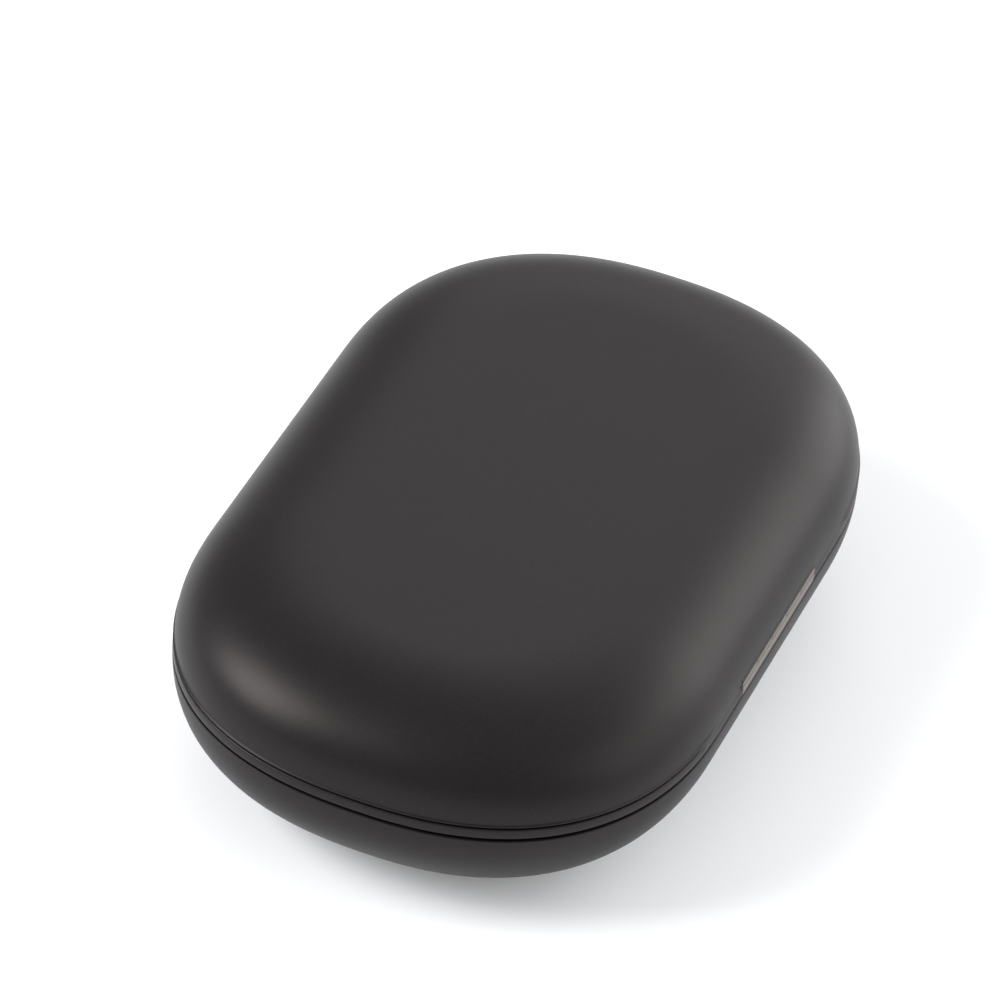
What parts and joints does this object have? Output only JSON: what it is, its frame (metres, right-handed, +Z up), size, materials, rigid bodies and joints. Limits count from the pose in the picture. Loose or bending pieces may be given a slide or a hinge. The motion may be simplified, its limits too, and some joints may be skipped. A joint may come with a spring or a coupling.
{
  "type": "wireless earbuds charging case",
  "caption": "Flat round-ended clamshell charging case with a hinged domed lid, a mid frame between two thin seams, earbud pockets and charging pins.",
  "frame": {"origin": "centre of the flat underside, on the surface that the case rests on", "axes": "+X along the case's length, +Y from the hinge side to the opening side, +Z up out of the underside"},
  "size_m": [0.08, 0.0524, 0.0225],
  "materials": {
    "soft_touch_shell": "soft-touch matt coating",
    "frame_plastic": "fine matt",
    "cradle_plastic": "fine spark texture",
    "button_plastic": "satin",
    "nickel": "nickel plated",
    "hinge_steel": "satin dark coating",
    "pin_steel": "drawn wire",
    "screw_steel": "blackened",
    "cell_foil": "foil pouch",
    "foam": "foam tape",
    "connector_plastic": "moulded",
    "board": "solder mask",
    "chip": "moulded epoxy",
    "socket_steel": "drawn shell",
    "led": "moulded lens",
    "light_pipe": "frosted",
    "flex": "polyimide film",
    "gold": "gold plated"
  },
  "bodies": {
    "base": {"base_shell": "soft_touch_shell", "mid_frame": "frame_plastic", "cradle_tray": "cradle_plastic", "base_magnets": "nickel", "bud_magnets": "nickel", "hinge_base_leaf": "hinge_steel", "hinge_pin": "pin_steel", "base_leaf_screws": "screw_steel", "frame_screws": "screw_steel", "battery": "cell_foil", "battery_pad": "foam", "battery_connector": "connector_plastic", "main_board": "board", "board_chips": "chip", "socket_shell": "socket_steel", "socket_tongue": "chip", "top_board": "board", "tact_switch": "nickel", "hall_sensor": "chip", "status_led": "led", "light_pipe": "light_pipe", "board_link": "flex", "contact_boards": "board", "pogo_barrels": "gold"},
    "lid": {"lid_shell": "soft_touch_shell", "lid_liner": "cradle_plastic", "lid_magnets": "nickel", "sense_magnet": "nickel", "hinge_lid_leaf": "hinge_steel", "lid_leaf_screws": "screw_steel"},
    "button": {"pairing_button": "button_plastic"},
    "left_pins": {"left_pogo_pins": "gold"},
    "right_pins": {"right_pogo_pins": "gold"}
  },
  "joints": [
    {"name": "lid_hinge", "type": "hinge", "parent": "base", "child": "lid", "pos_m": [0, -0.02584, 0.0139], "axis": [1, 0, 0], "range_deg": [0, 90]},
    {"name": "pairing_button_press", "type": "slide", "parent": "base", "child": "button", "axis": [0, 0, -1], "range_m": [0, 0.0003], "stiffness_N_per_m": 400},
    {"name": "left_pins_press", "type": "slide", "parent": "base", "child": "left_pins", "axis": [0, 0, -1], "range_m": [0, 0.0007], "stiffness_N_per_m": 300},
    {"name": "right_pins_press", "type": "slide", "parent": "base", "child": "right_pins", "axis": [0, 0, -1], "range_m": [0, 0.0007], "stiffness_N_per_m": 300}
  ]
}
